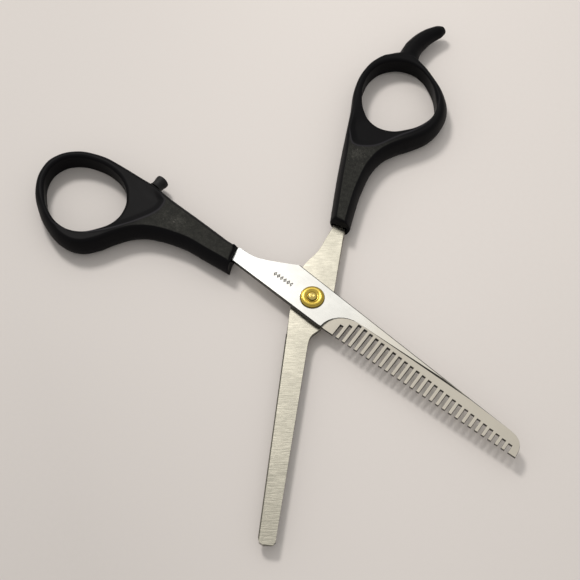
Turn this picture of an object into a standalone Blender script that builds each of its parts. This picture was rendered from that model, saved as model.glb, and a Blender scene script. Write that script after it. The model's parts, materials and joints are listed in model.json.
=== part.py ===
"""Thinning shears with moulded handles, lying open and flat.

Each half is drawn about the pivot with its blade along local +X.  The finger half carries the plain
lower blade and the thumb half the toothed upper blade, turned about the pivot by REST_OPENING.
The finished pair stands on z = 0 with the middle of its footprint at the origin.
"""
import bpy
import bmesh
from math import cos, pi, radians, sin
from mathutils import Euler, Matrix, Vector

MM = 0.001

# Pose and stacking
REST_OPENING = radians(59.3)
HANDLE_THICKNESS = 7.8 * MM
BLADE_THICKNESS = 1.5 * MM
BLADE_GAP = 0.2 * MM
SEAT_GAP = 0.1 * MM
MOULD_GAP = 0.3 * MM
RUNNING_CLEARANCE = 0.05 * MM

# Teeth of the comb blade
EDGE_OFFSET = 5.7 * MM
FIRST_SLOT = 11.2 * MM
SLOT_COUNT = 28
TOOTH_PITCH = 2.04 * MM
SLOT_WIDTH = 1.02 * MM
END_TOOTH = 2.36 * MM
SLOT_DEPTH_ROOT = 6.67 * MM
SLOT_DEPTH_TIP = 2.24 * MM
SHORT_SLOTS = (3.8 * MM, 5.15 * MM)
GROUND_EDGE = 0.75 * MM

# Blades
RICASSO_HALF = 6.0 * MM
COMB_TIP_WIDTH = 5.1 * MM
STRAIGHT_TIP_WIDTH = 4.5 * MM
STRAIGHT_OVERREACH = 0.7 * MM
STRAIGHT_EDGE_THICKNESS = 0.4 * MM
STRAIGHT_BEVEL_WIDTH = 3.0 * MM
BEVEL_SETBACK = 0.4 * MM

# Tangs inside the handles
PIVOT_TO_MOUTH = 25.0 * MM
TANG_TO_HOLE = 10.6 * MM
COMB_NECK_WIDTH = 4.3 * MM
COMB_TANG_WIDTH = 3.0 * MM
STRAIGHT_TANG_WIDTH = 3.8 * MM
LOCK_HOLE_RADIUS = 0.95 * MM
LOCK_HOLE_PLACES = (0.2, 0.55)

# Handles
EDGE_ROUNDING = 0.9 * MM
PIVOT_TO_THUMB_RING = 74.0 * MM
PIVOT_TO_FINGER_RING = 74.0 * MM
SHANK_WIDTH = 8.1 * MM
FINGER_SHANK_WIDTH = 6.2 * MM
HOOK_ROOT_RADIUS = 3.6 * MM
HOOK_TIP_RADIUS = 2.2 * MM
HOOK_TIP_SHARE = 0.7

# Stop bumper
BUMPER_FROM_RING = 14.0 * MM
BUMPER_RADIUS = 2.0 * MM
BUMPER_HEIGHT = 3.9 * MM
BUMPER_STEM_RADIUS = 1.1 * MM
BUMPER_STEM = 3.0 * MM

# Pivot
RIVET_RADIUS = 1.5 * MM
RIVET_NECK_RADIUS = 1.0 * MM
RIVET_BOSS_RADIUS = 1.4 * MM
RIVET_BOSS_HEIGHT = 0.35 * MM
RIVET_PINHOLE_RADIUS = 0.35 * MM
RIVET_BACK_RADIUS = 2.4 * MM
RIVET_BACK_THICKNESS = 0.6 * MM
ROSETTE_RADIUS = 3.5 * MM
ROSETTE_HEIGHT = 0.8 * MM
BACK_WASHER_RADIUS = 3.2 * MM
BACK_WASHER_THICKNESS = 0.4 * MM

# Levels that follow from the stacking
MID = HANDLE_THICKNESS / 2
STRAIGHT_TOP = MID - BLADE_GAP / 2
STRAIGHT_BOTTOM = STRAIGHT_TOP - BLADE_THICKNESS
COMB_BOTTOM = MID + BLADE_GAP / 2
COMB_TOP = COMB_BOTTOM + BLADE_THICKNESS
COMB_REACH = FIRST_SLOT + (SLOT_COUNT - 1) * TOOTH_PITCH + SLOT_WIDTH + END_TOOTH
STRAIGHT_REACH = COMB_REACH + STRAIGHT_OVERREACH
STRAIGHT_BACK = -EDGE_OFFSET - 0.3 * MM
STRAIGHT_EDGE_START = FIRST_SLOT + 3.0 * MM
STRAIGHT_EDGE_Y = 0.3 * MM

ROUND_STEPS = 48
SMOOTH, CORNER = "AUTO", "VECTOR"


# ---------------------------------------------------------------- helpers

def clear_scene():
    for obj in list(bpy.data.objects):
        bpy.data.objects.remove(obj, do_unlink=True)


def new_collection(name):
    collection = bpy.data.collections.new(name)
    bpy.context.scene.collection.children.link(collection)
    return collection


def make_material(name, colour, roughness, metallic):
    material = bpy.data.materials.new(name)
    material.use_nodes = True
    shader = material.node_tree.nodes["Principled BSDF"]
    shader.inputs["Base Color"].default_value = (*colour, 1.0)
    shader.inputs["Roughness"].default_value = roughness
    shader.inputs["Metallic"].default_value = metallic
    return material


def add_object(name, data, collection, parent, material=None):
    obj = bpy.data.objects.new(name, data)
    collection.objects.link(obj)
    obj.parent = parent
    if material:
        obj.data.materials.clear()
        obj.data.materials.append(material)
    return obj


def as_cutter(obj):
    obj.hide_render = True
    obj.display_type = "WIRE"
    return obj


def outline(curve, points):
    """Close a run of (x, y, handle kind) points into one flat Bezier loop."""
    spline = curve.splines.new("BEZIER")
    spline.bezier_points.add(len(points) - 1)
    spline.use_cyclic_u = True
    for knot, (x, y, kind) in zip(spline.bezier_points, points):
        knot.co = (x, y, 0.0)
        knot.handle_left_type = kind
        knot.handle_right_type = kind


def circle(curve, x, y, radius):
    spline = curve.splines.new("POLY")
    spline.points.add(ROUND_STEPS - 1)
    spline.use_cyclic_u = True
    for step, point in enumerate(spline.points):
        angle = 2 * pi * step / ROUND_STEPS
        point.co = (x + radius * cos(angle), y + radius * sin(angle), 0.0, 1.0)


def mesh_from_curve(name, curve):
    """Turn a curve into a mesh whose loose caps are welded on."""
    holder = bpy.data.objects.new(name + "_curve", curve)
    bpy.context.scene.collection.objects.link(holder)
    bpy.context.view_layer.update()
    evaluated = holder.evaluated_get(bpy.context.evaluated_depsgraph_get())
    mesh = bpy.data.meshes.new_from_object(evaluated)
    mesh.transform(holder.matrix_world)
    bpy.data.objects.remove(holder, do_unlink=True)
    mesh.name = name
    work = bmesh.new()
    work.from_mesh(mesh)
    bmesh.ops.remove_doubles(work, verts=work.verts, dist=0.001 * MM)
    bmesh.ops.recalc_face_normals(work, faces=work.faces)
    work.to_mesh(mesh)
    work.free()
    return mesh


def plate_mesh(name, loops, bottom, top, rounding=0.0, resolution=5):
    """Extrude closed loops between two levels, with rounded rims if asked."""
    curve = bpy.data.curves.new(name, "CURVE")
    curve.dimensions = "2D"
    curve.fill_mode = "BOTH"
    curve.resolution_u = resolution
    for loop in loops:
        if len(loop) == 3 and not isinstance(loop[0], tuple):
            circle(curve, *loop)
        else:
            outline(curve, loop)
    curve.extrude = (top - bottom) / 2 - rounding
    if rounding:
        curve.bevel_depth = rounding
        curve.bevel_resolution = 2
        curve.offset = -rounding
    mesh = mesh_from_curve(name, curve)
    mesh.transform(Matrix.Translation((0, 0, (top + bottom) / 2)))
    return mesh


def turned(name, profile, collection, parent, material=None, ring=False):
    """Spin an (r, z) profile, listed top to bottom on its outer side, about local Z."""
    mesh = bpy.data.meshes.new(name)
    edges = [(i, i + 1) for i in range(len(profile) - 1)]
    if ring:
        edges.append((len(profile) - 1, 0))
    mesh.from_pydata([(r, 0.0, z) for r, z in profile], edges, [])
    obj = add_object(name, mesh, collection, parent, material)
    screw = obj.modifiers.new("Turn", "SCREW")
    screw.steps = ROUND_STEPS
    screw.render_steps = ROUND_STEPS
    screw.use_merge_vertices = True
    screw.merge_threshold = 0.0005 * MM
    screw.use_smooth_shade = True
    return obj


def boolean(obj, tool, operation):
    modifier = obj.modifiers.new(operation.title(), "BOOLEAN")
    modifier.operation = operation
    modifier.solver = "EXACT"
    modifier.object = tool


# ---------------------------------------------------------------- blades

def slot_depth(index):
    if index < len(SHORT_SLOTS):
        return SHORT_SLOTS[index]
    share = (index - len(SHORT_SLOTS)) / (SLOT_COUNT - 1 - len(SHORT_SLOTS))
    return SLOT_DEPTH_ROOT + share * (SLOT_DEPTH_TIP - SLOT_DEPTH_ROOT)


def toothed_edge():
    """Corners of the toothed side, from the pivot towards the tip."""
    points = []
    for index in range(SLOT_COUNT):
        left = FIRST_SLOT + index * TOOTH_PITCH
        right = left + SLOT_WIDTH
        root = slot_depth(index) - EDGE_OFFSET
        points += [(left, -EDGE_OFFSET, CORNER), (left, root, CORNER),
                   (right, root, CORNER), (right, -EDGE_OFFSET, CORNER)]
    return points


RING_HOLE_REACH = 13.4 * MM
COMB_TANG_TOP = -0.95 * MM
COMB_NECK_TOP = 0.45 * MM
COMB_TANG_END = TANG_TO_HOLE + RING_HOLE_REACH - PIVOT_TO_THUMB_RING
COMB_SHOULDER = -PIVOT_TO_MOUTH - 1.5 * MM
GROUND_START = FIRST_SLOT - 4.0 * MM


def comb_tang_loop(grow, end_grow):
    """Tang between the shoulder and its end, grown on every side by a clearance."""
    low = COMB_TANG_TOP - COMB_TANG_WIDTH - grow
    high = COMB_TANG_TOP + grow
    end = COMB_TANG_END - grow
    start = COMB_SHOULDER + end_grow
    return [(start, low, CORNER), (start, high, CORNER), (end, high, CORNER), (end, low, CORNER)]


def lock_holes(end, y, slope, shrink):
    """Two holes through a tang that the handle's plastic runs into."""
    holes = []
    for share in LOCK_HOLE_PLACES:
        x = end + (-PIVOT_TO_MOUTH - end) * share
        holes.append((x, y + slope * (x - end), LOCK_HOLE_RADIUS - shrink))
    return holes


def comb_outline():
    neck_low = COMB_NECK_TOP - COMB_NECK_WIDTH
    tang_low = COMB_TANG_TOP - COMB_TANG_WIDTH
    tip_top = COMB_TIP_WIDTH - EDGE_OFFSET
    points = [
        (COMB_TANG_END, tang_low, CORNER), (COMB_TANG_END, COMB_TANG_TOP, CORNER),
        (COMB_SHOULDER, COMB_TANG_TOP, CORNER), (COMB_SHOULDER, COMB_NECK_TOP, CORNER),
        (COMB_SHOULDER + 5.5 * MM, COMB_NECK_TOP + 0.3 * MM, SMOOTH),
        (COMB_SHOULDER + 9.0 * MM, COMB_NECK_TOP + 1.6 * MM, SMOOTH),
        (-RICASSO_HALF * 2.1, RICASSO_HALF * 0.75, SMOOTH),
        (-RICASSO_HALF * 1.5, RICASSO_HALF * 1.07, CORNER),
        (COMB_REACH - 6.0 * MM, tip_top + 0.5 * MM, CORNER),
        (COMB_REACH - 2.2 * MM, tip_top - 0.35 * MM, SMOOTH),
        (COMB_REACH - 0.55 * MM, tip_top - 2.2 * MM, SMOOTH),
        (COMB_REACH, -EDGE_OFFSET, CORNER),
    ]
    points += reversed(toothed_edge())
    points += [
        (GROUND_START, -EDGE_OFFSET, CORNER),
        (GROUND_START - 1.8 * MM, -EDGE_OFFSET - 0.35 * MM, CORNER),
        (COMB_SHOULDER, neck_low, CORNER), (COMB_SHOULDER, tang_low, CORNER),
    ]
    return points


def ground_cutter(collection, parent):
    """Sloping face ground on the toothed side, with the rounded run-out of the wheel."""
    rise = COMB_REACH * 1.2
    run_out = 8.0 * MM
    line = 1.25 * MM
    loop = []
    for step in range(9):
        angle = pi / 2 * step / 8
        loop.append((GROUND_START + run_out * (1 - cos(angle)),
                     -EDGE_OFFSET + (EDGE_OFFSET + line) * sin(angle), CORNER))
    loop += [(rise, line * 0.6, CORNER), (rise, -EDGE_OFFSET * 1.6, CORNER),
             (GROUND_START, -EDGE_OFFSET * 1.6, CORNER)]
    mesh = plate_mesh("comb_grind", [loop], 0.0, BLADE_THICKNESS * 2)
    cutter = as_cutter(add_object("comb_grind", mesh, collection, parent))
    slope = (BLADE_THICKNESS - GROUND_EDGE) / (EDGE_OFFSET + line)
    shear = Matrix.Identity(4)
    shear[2][1] = slope
    mesh.transform(Matrix.Translation((0, 0, COMB_TOP)) @ shear @ Matrix.Translation((0, -line, 0)))
    mesh.transform(Matrix.Translation((0, line, 0)))
    return cutter


def make_comb_blade(parts, cutters, half, material):
    tang_y = COMB_TANG_TOP - COMB_TANG_WIDTH / 2
    loops = [comb_outline(), (0.0, 0.0, RIVET_RADIUS + RUNNING_CLEARANCE)]
    loops += lock_holes(COMB_TANG_END, tang_y, 0.0, 0.0)
    mesh = plate_mesh("comb_blade", loops, COMB_BOTTOM, COMB_TOP, resolution=6)
    blade = add_object("comb_blade", mesh, parts, half, material)
    boolean(blade, ground_cutter(cutters, half), "DIFFERENCE")
    return blade


STRAIGHT_TANG_END = TANG_TO_HOLE + RING_HOLE_REACH - PIVOT_TO_FINGER_RING
STRAIGHT_TANG_LOW = 3.25 * MM
STRAIGHT_TANG_SLOPE = -0.045


def straight_tang_y(x):
    """Lower side of the straight tang, which climbs a little into its handle."""
    return STRAIGHT_TANG_LOW + STRAIGHT_TANG_SLOPE * (x + PIVOT_TO_MOUTH)


def straight_tang_loop(grow, end_grow):
    end = STRAIGHT_TANG_END - grow
    start = -PIVOT_TO_MOUTH + end_grow
    high = STRAIGHT_TANG_WIDTH + grow
    return [(start, straight_tang_y(start) - grow, CORNER), (start, straight_tang_y(start) + high, CORNER),
            (end, straight_tang_y(end) + high, CORNER), (end, straight_tang_y(end) - grow, CORNER)]


def straight_outline():
    back = STRAIGHT_BACK
    tip_edge = back + STRAIGHT_TIP_WIDTH
    mouth = -PIVOT_TO_MOUTH
    return [
        (STRAIGHT_TANG_END, straight_tang_y(STRAIGHT_TANG_END), CORNER),
        (STRAIGHT_TANG_END, straight_tang_y(STRAIGHT_TANG_END) + STRAIGHT_TANG_WIDTH, CORNER),
        (mouth, straight_tang_y(mouth) + STRAIGHT_TANG_WIDTH, CORNER),
        (-RICASSO_HALF * 0.7, RICASSO_HALF * 0.97, CORNER),
        (RICASSO_HALF * 0.55, RICASSO_HALF * 0.88, SMOOTH),
        (RICASSO_HALF * 1.3, RICASSO_HALF * 0.62, SMOOTH),
        (FIRST_SLOT - 1.7 * MM, RICASSO_HALF * 0.42, CORNER),
        (FIRST_SLOT, RICASSO_HALF * 0.16, SMOOTH),
        (STRAIGHT_EDGE_START, STRAIGHT_EDGE_Y, CORNER),
        (STRAIGHT_REACH - 0.7 * MM, tip_edge, CORNER),
        (STRAIGHT_REACH, tip_edge - 0.6 * MM, CORNER),
        (STRAIGHT_REACH, back + 1.4 * MM, CORNER),
        (STRAIGHT_REACH - 0.5 * MM, back + 0.4 * MM, CORNER),
        (STRAIGHT_REACH - 1.7 * MM, back, CORNER),
        (FIRST_SLOT, back, CORNER),
        (RICASSO_HALF * 0.7, back + 0.2 * MM, SMOOTH),
        (-RICASSO_HALF * 1.1, back + 0.8 * MM, SMOOTH),
        (-RICASSO_HALF * 1.9, back + 2.5 * MM, SMOOTH),
        (-RICASSO_HALF * 2.75, back + 5.9 * MM, SMOOTH),
        (-RICASSO_HALF * 3.5, back + 7.7 * MM, SMOOTH),
        (mouth, straight_tang_y(mouth), CORNER),
    ]


def edge_cutter(collection, parent):
    """Bevel under the straight blade that thins it to its cutting edge."""
    start = STRAIGHT_EDGE_START + BEVEL_SETBACK
    edge_tip = STRAIGHT_BACK + STRAIGHT_TIP_WIDTH
    lean = (edge_tip - STRAIGHT_EDGE_Y) / (STRAIGHT_REACH - STRAIGHT_EDGE_START)
    width = STRAIGHT_BEVEL_WIDTH
    extra = 4.0 * MM
    loop = []
    for step in range(7):
        angle = pi / 2 * step / 6
        loop.append((start + width * (1 - cos(angle)), -width * sin(angle), CORNER))
    reach = STRAIGHT_REACH + extra
    loop += [(reach, -width, CORNER), (reach, extra, CORNER), (start, extra, CORNER)]
    mesh = plate_mesh("straight_bevel", [loop], -BLADE_THICKNESS * 2, 0.0)
    slope = (BLADE_THICKNESS - STRAIGHT_EDGE_THICKNESS) / width
    shear = Matrix.Identity(4)
    shear[2][1] = slope
    mesh.transform(Matrix.Translation((0, 0, STRAIGHT_BOTTOM)) @ shear @ Matrix.Translation((0, width, 0)))
    follow = Matrix.Identity(4)
    follow[1][0] = lean
    mesh.transform(Matrix.Translation((0, STRAIGHT_EDGE_Y - width - lean * STRAIGHT_EDGE_START, 0)) @ follow)
    return as_cutter(add_object("straight_bevel", mesh, collection, parent))


def make_straight_blade(parts, cutters, half, material):
    loops = [straight_outline(), (0.0, 0.0, RIVET_RADIUS + RUNNING_CLEARANCE)]
    middle = straight_tang_y(STRAIGHT_TANG_END) + STRAIGHT_TANG_WIDTH / 2
    loops += lock_holes(STRAIGHT_TANG_END, middle, STRAIGHT_TANG_SLOPE, 0.0)
    mesh = plate_mesh("straight_blade", loops, STRAIGHT_BOTTOM, STRAIGHT_TOP, resolution=6)
    blade = add_object("straight_blade", mesh, parts, half, material)
    boolean(blade, edge_cutter(cutters, half), "DIFFERENCE")
    return blade


# ---------------------------------------------------------------- handles

POCKET_OVERRUN = 4.0 * MM
THUMB_RING_Y = -14.3 * MM
THUMB_MOUTH_TOP = 0.3 * MM
BUMPER_SEAT = 16.1 * MM
THUMB_RIM = ((11.4, 15.9), (1.5, 15.4), (-6.8, 13.9), (-13.0, 10.6), (-16.4, 5.4), (-16.5, 0.9),
             (-13.3, -5.7), (-7.3, -10.6), (-0.5, -13.8), (5.8, -14.9), (10.9, -13.3), (14.1, -9.6),
             (16.9, -4.3), (20.5, -0.1))
THUMB_HOLE = ((10.7, 7.7), (6.5, 11.0), (0.9, 12.5), (-5.3, 11.9), (-10.9, 9.4), (-14.0, 5.2),
              (-13.6, -0.7), (-9.2, -6.3), (-4.0, -9.9), (2.0, -11.4), (7.6, -10.2), (11.2, -6.4),
              (13.6, -0.6), (12.9, 4.3))

FINGER_RING_Y = 19.2 * MM
FINGER_MOUTH_LOW = 2.3 * MM
FINGER_RIM = ((8.3, -14.8), (-2.7, -13.9), (-10.0, -11.7), (-15.3, -7.9), (-18.1, -3.0), (-18.3, 1.4),
              (-15.1, 6.0), (-8.9, 10.7), (-2.8, 13.8), (3.0, 14.8), (8.8, 13.3), (13.1, 10.2),
              (16.1, 6.0), (19.6, 0.5), (25.4, -4.8))
FINGER_HOLE = ((-1.0, 11.2), (-7.2, 9.5), (-12.6, 5.4), (-14.7, 0.7), (-14.0, -4.6), (-10.6, -8.8),
               (-4.6, -11.3), (0.8, -11.6), (6.6, -10.5), (11.4, -7.6), (13.6, -2.8), (12.8, 2.5),
               (10.2, 7.6), (5.2, 11.2))
HOOK_PATH = ((-16.0, 1.4), (-20.3, 2.2), (-25.0, 4.5), (-28.8, 7.7), (-31.2, 10.9), (-32.4, 12.8))


def along_shank(ring_distance, share):
    """Local x at a share of the way from the mouth to the ring's centre."""
    return -PIVOT_TO_MOUTH - share * (ring_distance - PIVOT_TO_MOUTH)


def around(centre, offsets):
    """Place offsets given in millimetres about a centre, as smooth curve points."""
    return [(centre[0] + dx * MM, centre[1] + dy * MM, SMOOTH) for dx, dy in offsets]


def make_handle(name, loops, tang_loops, tang_levels, stores, half, material):
    parts, cutters = stores
    mesh = plate_mesh(name, loops, 0.0, HANDLE_THICKNESS, rounding=EDGE_ROUNDING)
    handle = add_object(name, mesh, parts, half, material)
    low, high = tang_levels
    pocket = plate_mesh(name + "_pocket", tang_loops, low - MOULD_GAP, high + MOULD_GAP)
    boolean(handle, as_cutter(add_object(name + "_pocket", pocket, cutters, half)), "DIFFERENCE")
    return handle


def make_thumb_handle(parts, cutters, half, material):
    centre = (-PIVOT_TO_THUMB_RING, THUMB_RING_Y)
    mouth = -PIVOT_TO_MOUTH
    low = THUMB_MOUTH_TOP - SHANK_WIDTH
    rim = [(mouth - 2.2 * MM, THUMB_MOUTH_TOP, CORNER),
           (along_shank(PIVOT_TO_THUMB_RING, 0.388), THUMB_MOUTH_TOP + 0.9 * MM, SMOOTH)]
    rim += around(centre, THUMB_RIM)
    rim += [(along_shank(PIVOT_TO_THUMB_RING, 0.337), low - 1.3 * MM, SMOOTH),
            (along_shank(PIVOT_TO_THUMB_RING, 0.143), low - 0.3 * MM, SMOOTH),
            (mouth + 0.5 * MM, low + 0.3 * MM, CORNER)]
    pocket = [comb_tang_loop(MOULD_GAP, POCKET_OVERRUN)]
    pocket += lock_holes(COMB_TANG_END, COMB_TANG_TOP - COMB_TANG_WIDTH / 2, 0.0, MOULD_GAP)
    handle = make_handle("thumb_handle", [rim, around(centre, THUMB_HOLE)], pocket,
                         (COMB_BOTTOM, COMB_TOP), (parts, cutters), half, material)
    seat = turned("bumper_socket", [
        (0.0, MOULD_GAP * 4), (BUMPER_STEM_RADIUS + MOULD_GAP, MOULD_GAP * 4),
        (BUMPER_STEM_RADIUS + MOULD_GAP, -BUMPER_STEM - MOULD_GAP), (0.0, -BUMPER_STEM - MOULD_GAP),
    ], cutters, half)
    place_on_bumper_axis(as_cutter(seat))
    boolean(handle, seat, "DIFFERENCE")
    return handle


def bumper_base():
    """Where the bumper's shoulder meets the inner side of the thumb handle."""
    return Vector((BUMPER_FROM_RING - PIVOT_TO_THUMB_RING, THUMB_RING_Y + BUMPER_SEAT, MID))


def place_on_bumper_axis(obj):
    """Stand a turned piece on the thumb handle's inner side, pointing along local +Y."""
    obj.location = bumper_base()
    obj.rotation_euler = Euler((-pi / 2, 0.0, 0.0))


def make_finger_handle(parts, cutters, half, material):
    centre = (-PIVOT_TO_FINGER_RING, FINGER_RING_Y)
    mouth = -PIVOT_TO_MOUTH
    high = FINGER_MOUTH_LOW + FINGER_SHANK_WIDTH
    rim = [(mouth - 1.3 * MM, FINGER_MOUTH_LOW, CORNER),
           (along_shank(PIVOT_TO_FINGER_RING, 0.388), FINGER_MOUTH_LOW + 0.6 * MM, SMOOTH)]
    rim += around(centre, FINGER_RIM)
    rim += [(along_shank(PIVOT_TO_FINGER_RING, 0.276), high + 2.2 * MM, SMOOTH),
            (along_shank(PIVOT_TO_FINGER_RING, 0.122), high + 0.8 * MM, SMOOTH),
            (mouth + 0.6 * MM, high - 0.1 * MM, CORNER)]
    pocket = [straight_tang_loop(MOULD_GAP, POCKET_OVERRUN)]
    middle = straight_tang_y(STRAIGHT_TANG_END) + STRAIGHT_TANG_WIDTH / 2
    pocket += lock_holes(STRAIGHT_TANG_END, middle, STRAIGHT_TANG_SLOPE, MOULD_GAP)
    handle = make_handle("finger_handle", [rim, around(centre, FINGER_HOLE)], pocket,
                         (STRAIGHT_BOTTOM, STRAIGHT_TOP), (parts, cutters), half, material)
    curve = bpy.data.curves.new("finger_rest", "CURVE")
    curve.dimensions = "3D"
    curve.use_fill_caps = True
    curve.bevel_depth = HOOK_ROOT_RADIUS
    curve.bevel_resolution = 4
    curve.resolution_u = 4
    spline = curve.splines.new("BEZIER")
    spline.bezier_points.add(len(HOOK_PATH) - 1)
    last = len(HOOK_PATH) - 1
    for step, (knot, (dx, dy)) in enumerate(zip(spline.bezier_points, HOOK_PATH)):
        knot.co = (centre[0] + dx * MM, centre[1] + dy * MM, MID)
        knot.handle_left_type = SMOOTH
        knot.handle_right_type = SMOOTH
        taper = 1 + (HOOK_TIP_RADIUS / HOOK_ROOT_RADIUS - 1) * step / (last - 1)
        knot.radius = taper if step < last else taper * HOOK_TIP_SHARE
    hook = add_object("finger_rest", mesh_from_curve("finger_rest", curve), cutters, half)
    boolean(handle, as_cutter(hook), "UNION")
    return handle


def make_stop_bumper(parts, half, material):
    dome = [(0.0, BUMPER_HEIGHT)]
    crown = 0.9 * MM
    for step in range(1, 6):
        angle = pi / 2 * (1 - step / 5)
        dome.append((BUMPER_RADIUS - crown + crown * cos(angle), BUMPER_HEIGHT - crown + crown * sin(angle)))
    dome += [(BUMPER_RADIUS, MOULD_GAP), (BUMPER_STEM_RADIUS, MOULD_GAP),
             (BUMPER_STEM_RADIUS, -BUMPER_STEM), (0.0, -BUMPER_STEM)]
    bumper = turned("stop_bumper", dome, parts, half, material)
    place_on_bumper_axis(bumper)
    return bumper


# ---------------------------------------------------------------- pivot

def make_pivot(parts, half, brass, rivet_brass):
    seat = COMB_TOP + SEAT_GAP
    crown = seat + ROSETTE_HEIGHT
    bore = RIVET_NECK_RADIUS + RUNNING_CLEARANCE
    turned("pivot_rosette", [
        (bore, crown - 0.15 * MM), (RIVET_BOSS_RADIUS + 0.25 * MM, crown - 0.15 * MM),
        (ROSETTE_RADIUS * 0.56, crown), (ROSETTE_RADIUS * 0.68, crown - 0.05 * MM),
        (ROSETTE_RADIUS * 0.86, crown - 0.3 * MM), (ROSETTE_RADIUS * 0.97, seat + 0.2 * MM),
        (ROSETTE_RADIUS, seat + 0.1 * MM), (ROSETTE_RADIUS, seat), (bore, seat),
    ], parts, half, brass, ring=True)

    washer_top = STRAIGHT_BOTTOM - SEAT_GAP
    washer_bottom = washer_top - BACK_WASHER_THICKNESS
    hole = RIVET_RADIUS + RUNNING_CLEARANCE
    turned("back_washer", [
        (hole, washer_top), (BACK_WASHER_RADIUS, washer_top), (BACK_WASHER_RADIUS, washer_bottom),
        (hole, washer_bottom),
    ], parts, half, brass, ring=True)

    boss = crown - 0.15 * MM + SEAT_GAP
    back_top = washer_bottom - SEAT_GAP
    back_bottom = back_top - RIVET_BACK_THICKNESS
    pin = RIVET_PINHOLE_RADIUS
    turned("pivot_rivet", [
        (0.0, boss + RIVET_BOSS_HEIGHT - 0.25 * MM), (pin, boss + RIVET_BOSS_HEIGHT - 0.2 * MM),
        (pin, boss + RIVET_BOSS_HEIGHT), (RIVET_BOSS_RADIUS * 0.7, boss + RIVET_BOSS_HEIGHT * 0.85),
        (RIVET_BOSS_RADIUS, boss + RIVET_BOSS_HEIGHT * 0.35), (RIVET_BOSS_RADIUS, boss),
        (RIVET_NECK_RADIUS, boss), (RIVET_NECK_RADIUS, seat - SEAT_GAP / 2),
        (RIVET_RADIUS, seat - SEAT_GAP / 2), (RIVET_RADIUS, back_top),
        (RIVET_BACK_RADIUS, back_top), (RIVET_BACK_RADIUS, back_bottom + 0.25 * MM),
        (RIVET_BACK_RADIUS * 0.85, back_bottom), (0.0, back_bottom),
    ], parts, half, rivet_brass)


# ---------------------------------------------------------------- assembly

def stand_on_origin(parts, root):
    """Move the pair so that its lowest level is z = 0 and its footprint is centred."""
    bpy.context.view_layer.update()
    graph = bpy.context.evaluated_depsgraph_get()
    corners = []
    for obj in parts.objects:
        if obj.type == "MESH":
            mesh = obj.evaluated_get(graph).to_mesh()
            corners += [obj.matrix_world @ vertex.co for vertex in mesh.vertices]
    low = Vector(min(point[axis] for point in corners) for axis in range(3))
    high = Vector(max(point[axis] for point in corners) for axis in range(3))
    root.location = (-(low.x + high.x) / 2, -(low.y + high.y) / 2, -low.z)


def main():
    clear_scene()
    parts = new_collection("thinning_shears")
    cutters = new_collection("cutters")

    pair = add_object("shears", None, parts, None)
    finger_half = add_object("finger_half", None, parts, pair)
    thumb_half = add_object("thumb_half", None, parts, pair)
    thumb_half.rotation_euler = Euler((0.0, 0.0, REST_OPENING))

    steel = make_material("satin_steel", (0.62, 0.61, 0.59), 0.32, 1.0)
    plastic = make_material("black_plastic", (0.012, 0.012, 0.013), 0.45, 0.0)
    rubber = make_material("black_rubber", (0.015, 0.014, 0.014), 0.7, 0.0)
    brass = make_material("yellow_brass", (0.72, 0.50, 0.13), 0.28, 1.0)
    rivet_brass = make_material("rivet_brass", (0.78, 0.60, 0.25), 0.25, 1.0)

    make_straight_blade(parts, cutters, finger_half, steel)
    make_finger_handle(parts, cutters, finger_half, plastic)
    make_pivot(parts, finger_half, brass, rivet_brass)
    make_comb_blade(parts, cutters, thumb_half, steel)
    make_thumb_handle(parts, cutters, thumb_half, plastic)
    make_stop_bumper(parts, thumb_half, rubber)
    stand_on_origin(parts, pair)


main()
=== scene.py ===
"""Looks for a pair of thinning shears: satin blades, moulded handles, brass pivot, plain stage.

The finger half is drawn along world X about the pivot.  The thumb half is drawn in the same way and
turned about the pivot by the rest opening, so both handles share one set of shaping rules.
"""

import json
from collections import namedtuple
from math import cos, pi, radians, sin

import bmesh
import bpy
import numpy as np
from bpy.props import FloatProperty, FloatVectorProperty, IntProperty, PointerProperty
from mathutils import Matrix, Vector
from mathutils.kdtree import KDTree


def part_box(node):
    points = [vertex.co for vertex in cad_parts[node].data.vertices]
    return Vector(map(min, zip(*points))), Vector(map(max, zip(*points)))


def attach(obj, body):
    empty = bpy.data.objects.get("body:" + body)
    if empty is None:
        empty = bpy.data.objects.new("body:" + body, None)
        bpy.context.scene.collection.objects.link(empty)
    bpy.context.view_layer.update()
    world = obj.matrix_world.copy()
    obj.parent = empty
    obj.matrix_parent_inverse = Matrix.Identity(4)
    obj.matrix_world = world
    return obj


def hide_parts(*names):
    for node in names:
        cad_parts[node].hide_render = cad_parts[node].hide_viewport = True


bl_info = {
    "name": "Thinning shears looks",
    "version": (1, 0, 0),
    "blender": (4, 5, 0),
    "location": "3D View > Sidebar > Shears",
    "description": "Builds the finished surfaces of a pair of thinning shears around its frame",
    "category": "Object",
}

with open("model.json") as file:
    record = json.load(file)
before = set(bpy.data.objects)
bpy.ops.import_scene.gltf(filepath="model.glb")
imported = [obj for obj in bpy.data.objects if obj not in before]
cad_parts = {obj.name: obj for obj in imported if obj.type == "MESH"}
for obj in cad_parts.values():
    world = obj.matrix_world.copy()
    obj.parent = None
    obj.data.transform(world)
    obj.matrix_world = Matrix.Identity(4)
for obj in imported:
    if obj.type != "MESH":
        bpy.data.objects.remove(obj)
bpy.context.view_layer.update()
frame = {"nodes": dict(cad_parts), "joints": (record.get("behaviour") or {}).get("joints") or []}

MM = 0.001
PIVOT = Vector(frame["joints"][0]["pos_m"])
FINGER_HALF = "finger_half"
THUMB_HALF = "thumb_half"
HANDLE_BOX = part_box("finger_handle")
HALF_HEIGHT = (HANDLE_BOX[1].z - HANDLE_BOX[0].z) / 2
MID = (HANDLE_BOX[1].z + HANDLE_BOX[0].z) / 2


# ---------------------------------------------------------------- settings

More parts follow.
